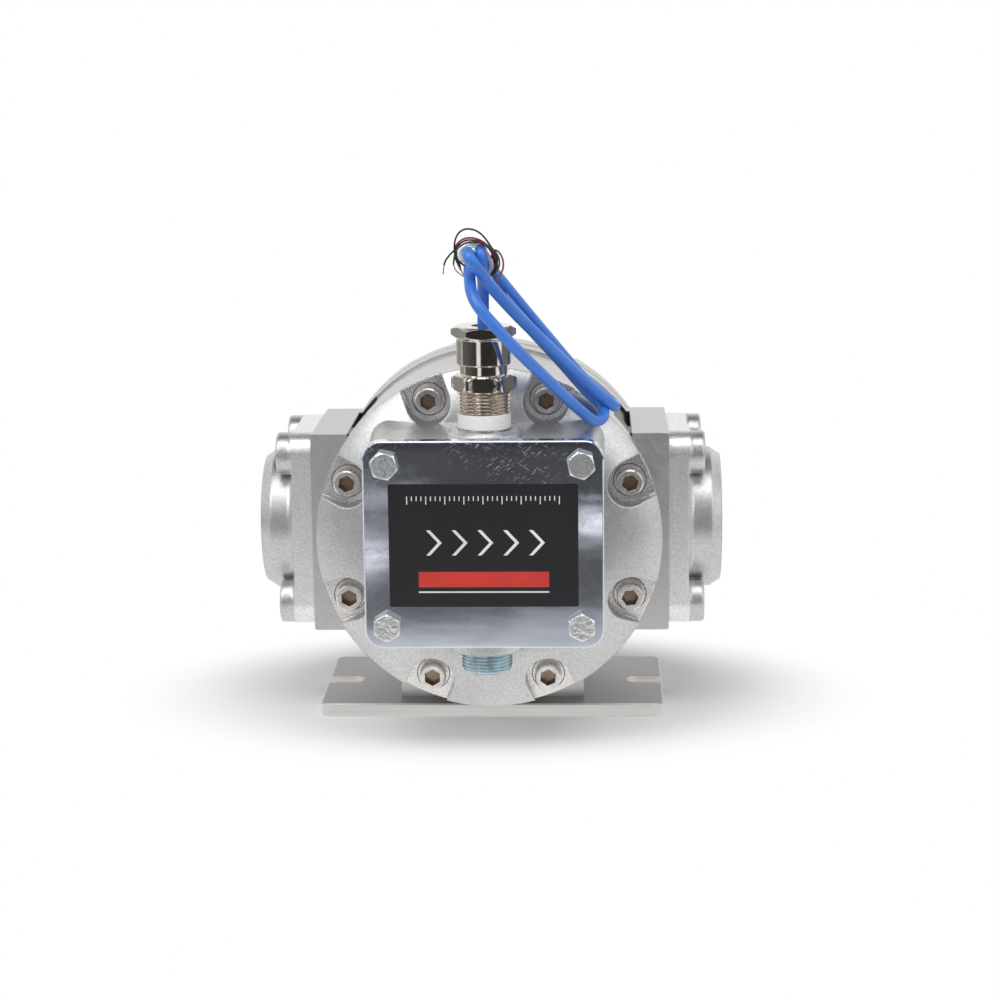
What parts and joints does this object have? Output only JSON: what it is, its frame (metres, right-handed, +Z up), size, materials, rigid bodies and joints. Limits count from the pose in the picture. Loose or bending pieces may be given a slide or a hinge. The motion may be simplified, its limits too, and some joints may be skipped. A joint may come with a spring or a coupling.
{
  "type": "positive displacement flow meter",
  "caption": "Oval gear flow meter: round body between bolted cast covers, threaded flow ports, terminal box with cable gland on the front cover, slotted base plate.",
  "frame": {"origin": "middle of the base plate's flat underside", "axes": "+X along the flow towards the right-hand port, -Y towards the terminal box and its lid, +Z up out of the cable gland"},
  "size_m": [0.25, 0.2024, 0.2706],
  "materials": {
    "cast_aluminium": "sand-cast, fine sparkle grain",
    "machined_aluminium": "machined, fine brushed lines",
    "plate_aluminium": "brushed flat bar",
    "polished_aluminium": "milled and polished, with tool arcs and scratches",
    "gear_aluminium": "machined",
    "stainless_steel": "satin",
    "zinc_steel": "zinc plated",
    "blue_zinc_steel": "blue zinc plated",
    "nickel_brass": "nickel plated, bright",
    "magnet_steel": "nickel plated",
    "black_rubber": "matte",
    "carbon_bushing": "carbon filled, smooth",
    "white_tape": "PTFE thread tape",
    "black_label": "fine mottled grain with a printed border",
    "sensor_plastic": "potted",
    "board_laminate": "solder mask",
    "terminal_plastic": "moulded",
    "blue_cable": "smooth jacket",
    "wire_insulation": "thin insulation in black, red, green and white"
  },
  "bodies": {
    "meter": {"base_plate": "plate_aluminium", "base_screws": "stainless_steel", "board_screws": "stainless_steel", "board_standoffs": "nickel_brass", "body": "machined_aluminium", "box_lid": "polished_aluminium", "cable_hank": "blue_cable", "conduit_plug": "blue_zinc_steel", "front_cover": "cast_aluminium", "front_cover_o_ring": "black_rubber", "front_cover_screws": "stainless_steel", "gland_body": "nickel_brass", "gland_cap": "nickel_brass", "gland_nut": "nickel_brass", "gland_seal": "black_rubber", "gland_sleeve": "nickel_brass", "inlet_flange": "cast_aluminium", "inlet_flange_o_ring": "black_rubber", "inlet_flange_screws": "stainless_steel", "inner_cable": "blue_cable", "inner_leads": "wire_insulation", "lid_gasket": "black_rubber", "lid_label": "black_label", "lid_screws": "zinc_steel", "lower_shaft": "stainless_steel", "outlet_flange": "cast_aluminium", "outlet_flange_o_ring": "black_rubber", "outlet_flange_screws": "stainless_steel", "pulse_sensors": "sensor_plastic", "rear_cover": "cast_aluminium", "rear_cover_o_ring": "black_rubber", "rear_cover_screws": "stainless_steel", "sensor_board": "board_laminate", "signal_cable": "blue_cable", "stripped_wires": "wire_insulation", "terminal_block": "terminal_plastic", "thread_tape": "white_tape", "upper_shaft": "stainless_steel"},
    "upper_gear": {"upper_oval_gear": "gear_aluminium", "upper_gear_bushings": "carbon_bushing", "gear_magnets": "magnet_steel"},
    "lower_gear": {"lower_oval_gear": "gear_aluminium", "lower_gear_bushings": "carbon_bushing"}
  },
  "joints": [
    {"name": "upper_gear_spin", "type": "hinge", "parent": "meter", "child": "upper_gear", "pos_m": [0, 0, 0.12905], "axis": [0, 1, 0], "continuous": true},
    {"name": "lower_gear_spin", "type": "hinge", "parent": "meter", "child": "lower_gear", "pos_m": [0, 0, 0.07295], "axis": [0, 1, 0], "continuous": true}
  ],
  "couplings": [
    {"joint": "lower_gear_spin", "follows": "upper_gear_spin", "ratio": -1}
  ]
}
